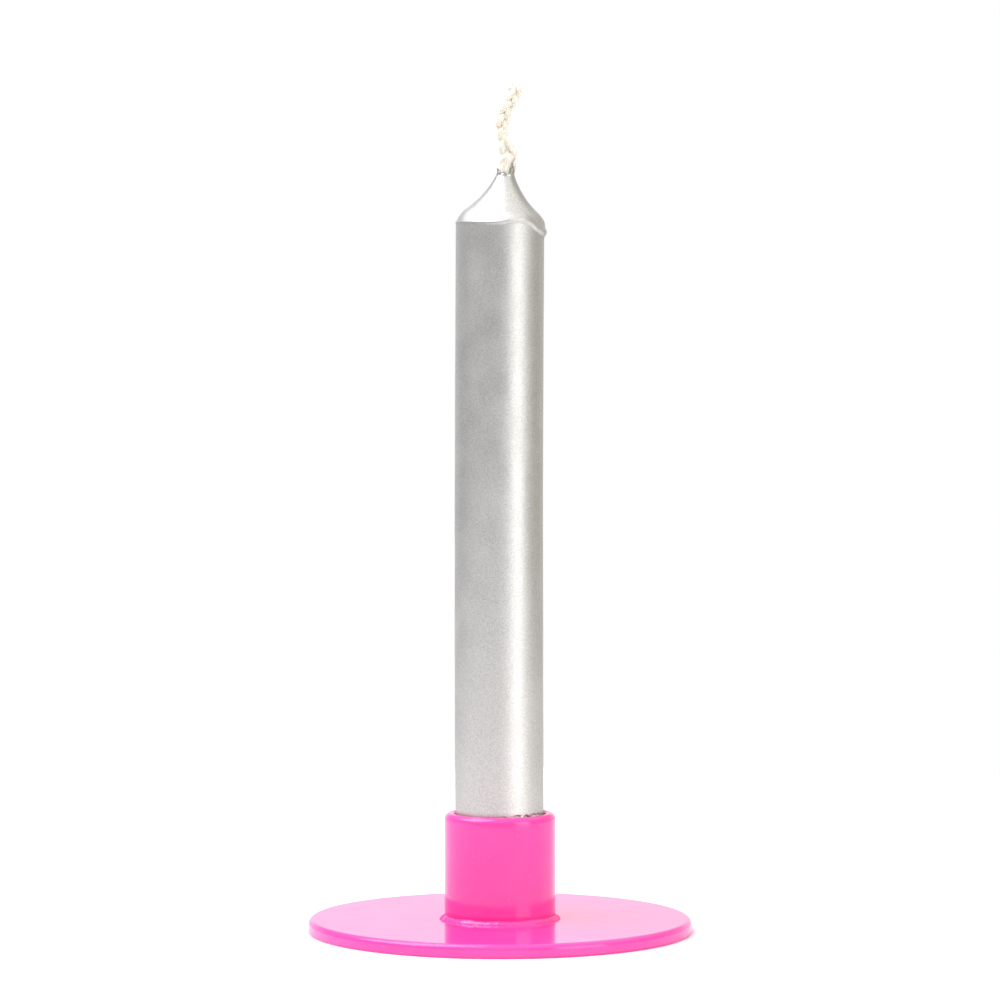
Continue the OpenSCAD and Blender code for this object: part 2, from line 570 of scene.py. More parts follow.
@dataclass
class DiscHolder:
    """Round disc with a short tube welded on it, all in one coat of enamel."""

    disc_top_round: float = 0.8 * MM
    disc_foot_round: float = 0.3 * MM
    rim_outer_round: float = 0.9 * MM
    rim_inner_round: float = 0.4 * MM
    tube_bore: float = 6.7 * MM
    bead_leg: float = 0.55 * MM
    bead_sink: float = 0.12 * MM
    bead_fullness: float = 0.55
    bead_lumps: tuple[int, ...] = (-172, -6, 74, 131)
    columns: int = 288
    enamel: PinkEnamel = field(default_factory=PinkEnamel)

    def __post_init__(self) -> None:
        """Takes the main sizes from the frame."""
        low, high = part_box("base_plate")
        self.disc_radius = (high[0] - low[0]) / 2
        self.disc_top = high[2]
        low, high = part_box("socket_tube")
        self.tube_radius = (high[0] - low[0]) / 2
        self.rim = high[2]

    def disc(self) -> bpy.types.Mesh:
        """Solid disc with a round upper edge and a small round lower edge."""
        radius, top, r1, r2 = self.disc_radius, self.disc_top, self.disc_top_round, self.disc_foot_round
        outline = [(k * MM, 0.0) for k in (2, 8, 16, 24, 27)]
        outline += arc((radius - r2, r2), r2, -90, 0, 8)
        outline += stretch((radius, r2), (radius, top - r1), 3)
        outline += arc((radius - r1, top - r1), r1, 0, 90, 14)
        outline += [(radius - r1 - k * MM, top) for k in (0.15, 0.6, 2, 5, 9, 14, 19, 24)]
        rows = [plain_ring(r, z, self.columns) for r, z in outline]
        return grid_mesh("base_disc", rows, caps=True)

    def tube(self) -> bpy.types.Mesh:
        """Tube wall with a full rounded rim; its foot stands on the disc."""
        foot, rim, r1, r2 = self.disc_top, self.rim, self.rim_outer_round, self.rim_inner_round
        inner, outer = self.tube_bore, self.tube_radius
        outline = [(inner, foot), (outer, foot)]
        outline += stretch((outer, foot), (outer, rim - r1), 12)
        outline += arc((outer - r1, rim - r1), r1, 0, 90, 14)
        outline += arc((inner + r2, rim - r2), r2, 90, 180, 10)
        outline += stretch((inner, rim - r2), (inner, foot), 6)
        rows = [plain_ring(r, z, self.columns) for r, z in outline]
        return grid_mesh("socket_sleeve", rows, closed=True)

    def bead_size(self, turn: float) -> float:
        """Leg of the weld bead at an angle: it swells and thins as a hand-run bead does.

        Args:
            turn: Angle round the axis, in radians.

        Returns:
            The leg in metres.
        """
        x, y = math.cos(turn), math.sin(turn)
        swell = noise(Vector((2.2 * x, 2.2 * y, 4.0))) * 0.34
        ripple = 0.05 * math.sin(turn * 38 + 2.5 * noise(Vector((3 * x, 3 * y, 9.0))))
        lumps = sum(0.35 * bump(angle_gap(turn, math.radians(a)), 0, 0.13) for a in self.bead_lumps)
        return self.bead_leg * (1 + swell + ripple + lumps)

    def bead(self) -> bpy.types.Mesh:
        """Round-faced bead between tube and disc, let a little into both."""
        base, wall, sink = self.disc_top, self.tube_radius, self.bead_sink
        steps = 10

        def place(turn: float, share: float) -> Point:
            """Point on the bead's face, from its toe on the disc to its top on the tube.

            Args:
                turn: Angle round the axis, in radians.
                share: Place on the face, from 0 at the toe to 1 at the top.

            Returns:
                The point.
            """
            leg = self.bead_size(turn)
            toe, top = leg * 1.15, leg
            a = share * math.pi / 2
            full = self.bead_fullness
            r = wall + toe * ((1 - share) * (1 - full) + full * math.cos(a))
            z = base + top * (share * (1 - full) + full * math.sin(a))
            return (r * math.cos(turn), r * math.sin(turn), z)

        rows = [ring(lambda turn, s=k / steps: place(turn, s), self.columns) for k in range(steps + 1)]
        inside = plain_ring(wall - sink, base - sink, self.columns)
        crest = np.array([(*(p[:2] * (wall - sink) / np.hypot(*p[:2])), p[2]) for p in rows[-1]])
        toe = np.array([(p[0], p[1], base - sink) for p in rows[0]])
        return grid_mesh("foot_bead", [inside, toe, *rows, crest], closed=True)

    def build(self) -> None:
        """Makes and dresses the three pieces."""
        enamel = self.enamel.material("pink_enamel")
        scuffed = self.enamel.material("pink_enamel_scuffed", scratched=0.6)
        settle(add_piece("base_disc", self.disc(), scuffed), Body.HOLDER, Slot.ENAMEL, "base_plate")
        settle(add_piece("socket_sleeve", self.tube(), enamel), Body.HOLDER, Slot.ENAMEL, "socket_tube")
        settle(add_piece("foot_bead", self.bead(), enamel), Body.HOLDER, Slot.ENAMEL, "weld_bead")


# ---------------------------------------------------------------- candle


@dataclass
class LeaningAxis:
    """Axis of the drawn tip, which leans to one side from a point low in the shaft."""

    lean: float = math.radians(4.4)
    foot: float = 100.4 * MM
    shift: float = 0.16 * MM

    def __post_init__(self) -> None:
        """Works out where the axis leaves the candle's own, and how far below the outline's foot."""
        self.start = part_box("silver_coat")[0][2] + self.foot - self.shift / math.tan(self.lean)
        self.buried = self.shift / math.sin(self.lean)

    def place(self, x: float, y: float, height: float) -> Point:
        """Puts a point, given about the axis at a height above the outline's foot, in the frame.

        Args:
            x: Place across the axis, to the side it leans to.
            y: Place across the axis, backwards.
            height: Height along the axis.

        Returns:
            The point in the frame.
        """
        up = height + self.buried
        c, s = math.cos(self.lean), math.sin(self.lean)
        return (x * c + up * s, y, self.start - x * s + up * c)

    def middle(self, z: float) -> float:
        """Sideways place of the axis at height z."""
        return math.tan(self.lean) * max(0.0, z - self.start)


@dataclass
class CoatedCandle:
    """Wax body with a drawn tip that leans to one side, under a thin silver coat."""

    coat: float = 0.2 * MM
    tip_height: float = 8.4 * MM
    ledge_height: float = 102.1 * MM
    outline_foot: float = 6.76 * MM
    shoulder_round: float = 4.2 * MM
    shoulder_sweep: float = math.radians(51.4)
    flare_round: float = 12.7 * MM
    top_slimmer: float = 0.05 * MM
    bow: float = 0.17 * MM
    low_turn: float = math.radians(-10)
    crown: tuple[tuple[float, float, float], ...] = (
        (-38, 30, 2.4), (-150, 36, 0.9), (-100, 20, 0.5), (35, 26, 1.3), (95, 34, 2.0), (160, 22, 0.7),
    )
    columns: int = 252
    axis: LeaningAxis = field(default_factory=LeaningAxis)
    silver: SilverLacquer = field(default_factory=SilverLacquer)
    wax: BareWax = field(default_factory=BareWax)

    def __post_init__(self) -> None:
        """Takes the main sizes from the frame."""
        low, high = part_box("silver_coat")
        self.foot = low[2]
        self.radius = high[0]
        self.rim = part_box("socket_tube")[1][2]
        self.shoulder_centre = np.array((self.outline_foot - self.shoulder_round, 0.0))
        outward = np.array((math.cos(self.shoulder_sweep), math.sin(self.shoulder_sweep)))
        self.joint = self.shoulder_centre + self.shoulder_round * outward
        self.flare_centre = self.joint + self.flare_round * outward

    def low_side(self, turn: float) -> float:
        """How near an angle is to the side where the ledge sags, from 0 to 1."""
        return bump(angle_gap(turn, self.low_turn), 0, math.radians(62))

    def ledge(self, turn: float) -> float:
        """Height of the ledge under the tip: level, with a hump in front and a sag on the low side.

        Args:
            turn: Angle round the axis, in radians.

        Returns:
            The height in the frame.
        """
        sag = bump(angle_gap(turn, self.low_turn), 0, math.radians(46))
        hump = bump(angle_gap(turn, math.radians(-66)), 0, math.radians(34))
        wave = 0.06 * noise(Vector((2.4 * math.cos(turn), 2.4 * math.sin(turn), 1.0)))
        return self.foot + self.ledge_height + (0.45 * hump - 1.3 * sag + wave) * MM

    def roll(self, turn: float, drop: float) -> float:
        """How far the rolled edge of the coat stands proud, at a drop below the ledge.

        Args:
            turn: Angle round the axis, in radians.
            drop: Distance below the ledge.

        Returns:
            The distance in metres.
        """
        low = self.low_side(turn)
        front = bump(angle_gap(turn, math.radians(-72)), 0, math.radians(50))
        ripple = 1 + 0.3 * noise(Vector((7 * math.cos(turn), 7 * math.sin(turn), 2.0)))
        proud = (0.04 + 0.1 * front * ripple + 0.36 * low) * MM
        size = (0.3 + 0.15 * front + 0.55 * low) * MM
        t = drop / size
        return proud * smooth(1.6 - t, 0, 1.2) * (0.55 + 0.45 * smooth(t, 0, 0.4))

    def groove(self, turn: float) -> float:
        """Depth of the fold between the rolled edge and the tip."""
        crease = bump(angle_gap(turn, math.radians(-38)), 0, math.radians(22))
        return (0.12 * (1 - 0.85 * self.low_side(turn)) + 0.16 * crease) * MM

    def tip_radius(self, height: float, inset: float) -> float:
        """Radius of the tip about its own leaning axis.

        Args:
            height: Height above the outline's foot, along the leaning axis.
            inset: How far the surface lies under the coat's.

        Returns:
            The radius in metres.
        """
        if height < self.joint[1]:
            r = self.shoulder_round - inset
            return self.shoulder_centre[0] + math.sqrt(max(r * r - min(max(height, 0.0), r) ** 2, 0.0))
        r = self.flare_round + inset
        return self.flare_centre[0] - math.sqrt(r * r - (self.flare_centre[1] - height) ** 2)

    def shaft_point(self, turn: float, height: float, inset: float) -> Point:
        """Point on the shaft, with its faint bow and waviness.

        Args:
            turn: Angle round the axis, in radians.
            height: Height in the frame.
            inset: How far the surface lies under the coat's.

        Returns:
            The point.
        """
        share = (height - self.foot) / self.ledge_height
        x, y = math.cos(turn), math.sin(turn)
        wave = 0.022 * MM * noise(Vector((1.4 * x, 1.4 * y, height / (11 * MM))))
        radius = self.radius - inset - self.top_slimmer * share + wave
        shift = -self.bow * math.sin(math.pi * min(1.0, max(0.0, share)))
        return (radius * x + shift, radius * y, height)

    def tip_foot(self, turn: float) -> float:
        """Height along the leaning axis at which the tip meets the ledge.

        Args:
            turn: Angle round the axis, in radians.

        Returns:
            The height above the outline's foot.
        """
        height = 1.0 * MM
        for _ in range(4):
            sideways = self.tip_radius(height, 0) * math.sin(self.axis.lean) * math.cos(turn)
            level = (self.ledge(turn) - self.axis.start + sideways) / math.cos(self.axis.lean)
            height = level - self.axis.buried
        return height

    def tip_point(self, turn: float, share: float, inset: float) -> Point:
        """Point on the tip: share runs from the ledge, 0, to the neck, 1.

        Args:
            turn: Angle round the axis, in radians.
            share: Place between ledge and neck.
            inset: How far the surface lies under the coat's.

        Returns:
            The point.
        """
        low = self.tip_foot(turn)
        height = low + (self.tip_height - low) * share
        x, y = math.cos(turn), math.sin(turn)
        wanted = self.radius - self.top_slimmer + self.roll(turn, 0) - self.groove(turn)
        wanted -= (low + self.axis.buried) * math.sin(self.axis.lean) * x
        settling = 1 - smooth(height - low, 0, 1.3 * MM)
        r = self.tip_radius(height, inset) + (wanted - self.tip_radius(low, 0)) * settling
        r += 0.025 * MM * noise(Vector((1.5 * x, 1.5 * y, height / (2.5 * MM)))) * (1 - settling)
        return self.axis.place(r * x, r * y, height)

    def chip(self, turn: float, height: float) -> float:
        """How much of the coat is broken off near the socket's rim, from 0 to 1.

        Args:
            turn: Angle round the axis, in radians.
            height: Height in the frame.

        Returns:
            The share that is lost.
        """
        above = (height - self.rim) / MM
        right = bump(angle_gap(turn, math.radians(-52)), 0, math.radians(44))
        ragged = turbulence(Vector((9 * math.cos(turn), 9 * math.sin(turn), above * 1.3)), 4, False)
        reach = right * (0.12 + 0.85 * ragged)
        return smooth(reach - abs(above), -0.04, 0.1) * smooth(right, 0.02, 0.1)

    def coat_rows(self, inset: float) -> list[np.ndarray]:
        """Rings from the foot to the ragged top of the neck, taken in by inset.

        Args:
            inset: How far the surface lies under the coat's.

        Returns:
            The rings, from below.
        """
        heights = [self.foot + k * MM for k in (0.0, 0.4, 2, 5, 8, 11, 13.5)]
        heights += [self.rim + k * MM for k in np.arange(-0.9, 1.81, 0.09)]
        rows = []
        for height in heights:
            near_rim = abs(height - self.rim) < 2 * MM

            def place(turn: float, z: float = height, check: bool = near_rim) -> Point:
                """Shaft point, sunk under the wax where the coat is chipped."""
                lost = self.chip(turn, z) * 1.25 * self.coat if check else 0.0
                return self.shaft_point(turn, z, inset + lost)

            rows.append(ring(place, self.columns))
        low = self.rim + 2.2 * MM
        for share in np.linspace(0, 1, 70):

            def shaft(turn: float, s: float = share) -> Point:
                """Point of the free shaft, in rings that follow the ledge above."""
                return self.shaft_point(turn, low + (self.ledge(turn) - 2 * MM - low) * s, inset)

            rows.append(ring(shaft, self.columns))
        for drop in (1.7, 1.45, 1.2, 1.0, 0.82, 0.66, 0.52, 0.4, 0.3, 0.22, 0.15, 0.09, 0.04, 0.0):

            def edge(turn: float, d: float = drop * MM) -> Point:
                """Point on the rolled edge under the ledge."""
                return self.shaft_point(turn, self.ledge(turn) - d, inset - self.roll(turn, d))

            rows.append(ring(edge, self.columns))
        for share in (0.004, 0.012, 0.024, 0.04, 0.06, 0.085, *np.linspace(0.11, 1.0, 54)):
            rows.append(ring(lambda turn, s=share: self.tip_point(turn, s, inset), self.columns))
        return rows

    def crown_reach(self, turn: float) -> float:
        """How far the torn lacquer climbs the wick at an angle.

        Args:
            turn: Angle round the axis, in radians.

        Returns:
            The distance in metres.
        """
        flakes = sum(h * bump(angle_gap(turn, math.radians(a)), 0, math.radians(w)) for a, w, h in self.crown)
        x, y = math.cos(turn), math.sin(turn)
        return (0.12 + flakes * (1 + 0.35 * noise(Vector((6 * x, 6 * y, 3.0))))) * MM

    def collar_rows(self, inset: float) -> list[np.ndarray]:
        """Torn crown of lacquer that climbs the wick above the neck.

        Args:
            inset: How far the surface lies under the coat's.

        Returns:
            The rings, from below.
        """
        rows = []
        steps = 12
        for share in (k / steps for k in range(1, steps + 1)):

            def place(turn: float, s: float = share) -> Point:
                """Point on the crown, which hugs the wick and curls off it at its edge."""
                x, y = math.cos(turn), math.sin(turn)
                rise = self.crown_reach(turn) * s
                crumple = 0.2 * MM * noise(Vector((3.4 * x, 3.4 * y, rise / (0.5 * MM))))
                curl = 0.18 * MM * smooth(s, 0.6, 1.0) * smooth(rise, 0.3 * MM, 1.5 * MM)
                r = self.tip_radius(self.tip_height, 0) + curl - 0.3 * inset
                r += (crumple - 0.06 * MM) * smooth(rise, 0, 0.5 * MM)
                return self.axis.place(r * x, r * y, self.tip_height + rise)

            rows.append(ring(place, self.columns))
        return rows

    def coat_mesh(self) -> bpy.types.Mesh:
        """The silver skin, as one closed shell with a real thickness."""
        outer = self.coat_rows(0.0) + self.collar_rows(0.0)
        inner = self.coat_rows(self.coat * 0.96) + self.collar_rows(self.coat)
        return grid_mesh("silver_skin", outer + inner[::-1], closed=True)

    def wax_mesh(self) -> bpy.types.Mesh:
        """The wax body, with a small swell of wax around the wick at the neck."""
        inset = self.coat
        rows = [plain_ring(r * MM, self.foot + 0.05 * MM, self.columns) for r in (1.0, 3.0, 5.2)]
        rows.append(ring(lambda t: self.shaft_point(t, self.foot, inset + 0.35 * MM), self.columns))
        rows.append(ring(lambda t: self.shaft_point(t, self.foot + 0.1 * MM, inset + 0.1 * MM), self.columns))
        heights = [self.foot + k * MM for k in (0.4, 3, 8, 13)]
        heights += [self.rim + k * MM for k in np.arange(-0.9, 1.81, 0.3)]
        heights += list(np.linspace(self.rim + 4 * MM, self.foot + self.ledge_height - 2.6 * MM, 24))
        for z in heights:
            rows.append(ring(lambda t, h=z: self.shaft_point(t, h, inset), self.columns))
        for share in np.linspace(0.03, 1.0, 30):
            rows.append(ring(lambda t, s=share: self.tip_point(t, s, inset), self.columns))
        for lift, out in ((0.2, 1.0), (0.35, 0.8), (0.45, 0.4)):

            def swell(turn: float, h: float = lift, o: float = out) -> Point:
                """Point on the swell of wax that holds the wick."""
                x, y = math.cos(turn), math.sin(turn)
                rough = 1 + 0.18 * noise(Vector((2.4 * x, 2.4 * y, 6 * h)))
                z = self.tip_height + h * MM * (1 + 0.4 * noise(Vector((2 * x, 2 * y, 8.0))))
                return self.axis.place(o * rough * MM * x, o * rough * MM * y, z)

            rows.append(ring(swell, self.columns))
        return grid_mesh("wax_body", rows, caps=True)

    def build(self) -> bpy.types.Object:
        """Makes and dresses wax and coat.

        Returns:
            The coat, on which the specks are scattered.
        """
        wax = self.wax.material("bare_wax")
        silver = self.silver.material("silver_flake_lacquer")
        settle(add_piece("wax_body", self.wax_mesh(), wax), Body.CANDLE, Slot.WAX, "wax_core")
        skin = add_piece("silver_skin", self.coat_mesh(), silver)
        return settle(skin, Body.CANDLE, Slot.SILVER, "silver_coat")


# ---------------------------------------------------------------- wick


class Tree:
    """Builds one Geometry Nodes tree with named inputs and runs it on an object."""

    def __init__(self, name: str) -> None:
        """Starts an empty tree with a geometry input and output."""
        self.group = bpy.data.node_groups.new(name, "GeometryNodeTree")
        self.sockets: dict[str, str] = {}
        self.group.interface.new_socket("Geometry", in_out="INPUT", socket_type="NodeSocketGeometry")
        self.group.interface.new_socket("Geometry", in_out="OUTPUT", socket_type="NodeSocketGeometry")
        self.start = self.group.nodes.new("NodeGroupInput")
        self.end = self.group.nodes.new("NodeGroupOutput")

    def size(self, name: str, kind: str = "Float") -> bpy.types.NodeSocket:
        """Adds a named input and returns its socket inside the tree.

        Args:
            name: Name of the input.
            kind: Its socket type.

        Returns:
            The socket.
        """
        made = self.group.interface.new_socket(name, in_out="INPUT", socket_type=f"NodeSocket{kind}")
        self.sockets[name] = made.identifier
        return self.start.outputs[name]

    def node(self, kind: str, settings: dict[str, object] | None = None, **inputs: object) -> bpy.types.Node:
        """Adds a node.

        Args:
            kind: Type name without its prefix for geometry nodes, or a full Shader or Function name.
            settings: Properties of the node itself.
            inputs: Sockets or constants for its inputs; an underscore stands for a space.

        Returns:
            The new node.
        """
        full = kind if kind.startswith(("Shader", "Function")) else f"GeometryNode{kind}"
        made = self.group.nodes.new(full)
        for name, value in (settings or {}).items():
            setattr(made, name, value)
        for name, value in inputs.items():
            key = int(name[1:]) if name[0] == "i" and name[1:].isdigit() else name.replace("_", " ")
            if isinstance(value, bpy.types.NodeSocket):
                self.group.links.new(value, made.inputs[key])
            else:
                made.inputs[key].default_value = value
        return made

    def math(self, operation: str, a: object, b: object = 0.0) -> bpy.types.NodeSocket:
        """One Math node on one or two values."""
        return self.node("ShaderNodeMath", {"operation": operation}, i0=a, i1=b).outputs[0]

    def scale(self, vector: object, by: object) -> bpy.types.NodeSocket:
        """A vector times a number.

        Args:
            vector: The vector.
            by: The number.

        Returns:
            The result's socket.
        """
        made = self.node("ShaderNodeVectorMath", {"operation": "SCALE"}, i0=vector)
        if isinstance(by, bpy.types.NodeSocket):
            self.group.links.new(by, made.inputs["Scale"])
        else:
            made.inputs["Scale"].default_value = by
        return made.outputs["Vector"]

    def vector(self, operation: str, a: object, b: object) -> bpy.types.NodeSocket:
        """One Vector Math node on two vectors."""
        return self.node("ShaderNodeVectorMath", {"operation": operation}, i0=a, i1=b).outputs["Vector"]

    def random(self, kind: str, low: object, high: object, seed: int) -> bpy.types.NodeSocket:
        """A seeded random value between low and high for each point.

        Args:
            kind: Data type of the value.
            low: Smallest value.
            high: Largest value.
            seed: Seed of the draw.

        Returns:
            The value's socket.
        """
        made = self.node("FunctionNodeRandomValue", {"data_type": kind}, Min=low, Max=high, Seed=seed)
        return next(socket for socket in made.outputs if socket.enabled)

    def scatter(self, density: bpy.types.NodeSocket, seed: bpy.types.NodeSocket) -> bpy.types.Node:
        """Random points over the faces that the tree is given.

        Args:
            density: Points per square metre.
            seed: Seed of the draw.

        Returns:
            The node that makes them.
        """
        surface = self.start.outputs[0]
        return self.node(
            "DistributePointsOnFaces", {"distribute_method": "RANDOM"}, Mesh=surface, Density=density, Seed=seed
        )

    def finish(self, geometry: bpy.types.NodeSocket) -> None:
        """Ends the tree in real, dressed geometry.

        Args:
            geometry: The geometry that the tree has made.
        """
        finish = self.size("Finish", "Material")
        real = self.node("RealizeInstances", Geometry=geometry).outputs[0]
        even = self.node("SetShadeSmooth", Geometry=real).outputs[0]
        dressed = self.node("SetMaterial", Geometry=even, Material=finish).outputs[0]
        self.group.links.new(dressed, self.end.inputs[0])

    def grow(self, name: str, source: bpy.types.Object, **values: object) -> bpy.types.Object:
        """Runs the tree on an object and keeps the result as a new plain mesh object.

        Args:
            name: Name of the new piece.
            source: Object that the tree works on; it is left as it was.
            values: The tree's named inputs; an underscore stands for a space.

        Returns:
            The new piece.
        """
        modifier = source.modifiers.new(self.group.name, "NODES")
        modifier.node_group = self.group
        for key, value in values.items():
            modifier[self.sockets[key.replace("_", " ")]] = value
        bpy.context.view_layer.update()
        evaluated = source.evaluated_get(bpy.context.evaluated_depsgraph_get())
        mesh = bpy.data.meshes.new_from_object(evaluated)
        mesh.name = name
        source.modifiers.remove(modifier)
        piece = bpy.data.objects.new(name, mesh)
        bpy.context.scene.collection.objects.link(piece)
        return piece


def yarn_tree() -> Tree:
    """Tree that turns a strand's middle line into plies twisted round each other."""
    tree = Tree("plied_yarn")
    plies, ply, offset = tree.size("Plies", "Int"), tree.size("Ply Radius"), tree.size("Ply Offset")
    pitch, step = tree.size("Twist Pitch"), tree.size("Step")
    fine = tree.node("ResampleCurve", {"mode": "LENGTH"}, Curve=tree.start.outputs[0], Length=step)
    copies = tree.node("DuplicateElements", {"domain": "SPLINE"}, Geometry=fine.outputs[0], Amount=plies)
    share = tree.math("DIVIDE", copies.outputs[1], plies)
    run = tree.math("DIVIDE", tree.node("SplineParameter").outputs["Length"], pitch)
    angle = tree.math("MULTIPLY", tree.math("ADD", share, run), TURN)
    normal = tree.node("InputNormal").outputs[0]
    across = tree.vector("CROSS_PRODUCT", tree.node("InputTangent").outputs[0], normal)
    sideways = tree.vector(
        "ADD", tree.scale(normal, tree.math("COSINE", angle)), tree.scale(across, tree.math("SINE", angle))
    )
    moved = tree.node("SetPosition", Geometry=copies.outputs[0], Offset=tree.scale(sideways, offset))
    section = tree.node("CurvePrimitiveCircle", Resolution=7, Radius=ply)
    tube = tree.node("CurveToMesh", Curve=moved.outputs[0], Profile_Curve=section.outputs[0], Fill_Caps=True)
    tree.finish(tube.outputs[0])
    return tree


def fuzz_tree() -> Tree:
    """Tree that scatters short bent fibres over a surface."""
    tree = Tree("loose_fibres")
    density, length = tree.size("Density"), tree.size("Length")
    thick, seed = tree.size("Thickness"), tree.size("Seed", "Int")
    spots = tree.scatter(density, seed)

    def along(out: float, up: float) -> bpy.types.NodeSocket:
        """A point of the fibre, as shares of its length."""
        x, z = tree.math("MULTIPLY", length, out), tree.math("MULTIPLY", length, up)
        return tree.node("ShaderNodeCombineXYZ", X=x, Z=z).outputs[0]

    hair = tree.node(
        "CurveQuadraticBezier", Resolution=5, Start=(0, 0, 0), Middle=along(0.1, 0.55), End=along(0.6, 0.5)
    )
    section = tree.node("CurvePrimitiveCircle", Resolution=3, Radius=thick)
    fibre = tree.node("CurveToMesh", Curve=hair.outputs[0], Profile_Curve=section.outputs[0])
    roll = tree.node("ShaderNodeCombineXYZ", Z=tree.random("FLOAT", 0.0, TURN, 3))
    stand = spots.outputs["Rotation"]
    turned = tree.node("FunctionNodeRotateRotation", {"rotation_space": "LOCAL"}, Rotation=stand)
    tree.group.links.new(roll.outputs[0], turned.inputs["Rotate By"])
    placed = tree.node(
        "InstanceOnPoints",
        Points=spots.outputs["Points"],
        Instance=fibre.outputs[0],
        Rotation=turned.outputs[0],
        Scale=tree.random("FLOAT", 0.35, 1.25, 8),
    )
    tree.finish(placed.outputs[0])
    return tree


def speck_tree() -> Tree:
    """Tree that scatters small lumps, half sunk, over a surface."""
    tree = Tree("lacquer_specks")
    density, radius, seed = tree.size("Density"), tree.size("Radius"), tree.size("Seed", "Int")
    spots = tree.scatter(density, seed)
    lump = tree.node("MeshIcoSphere", Radius=radius, Subdivisions=2)
    placed = tree.node(
        "InstanceOnPoints",
        Points=spots.outputs["Points"],
        Instance=lump.outputs[0],
        Rotation=spots.outputs["Rotation"],
        Scale=tree.random("FLOAT_VECTOR", (0.4, 0.4, 0.3), (1.2, 1.2, 0.7), 5),
    )
    tree.finish(placed.outputs[0])
    return tree


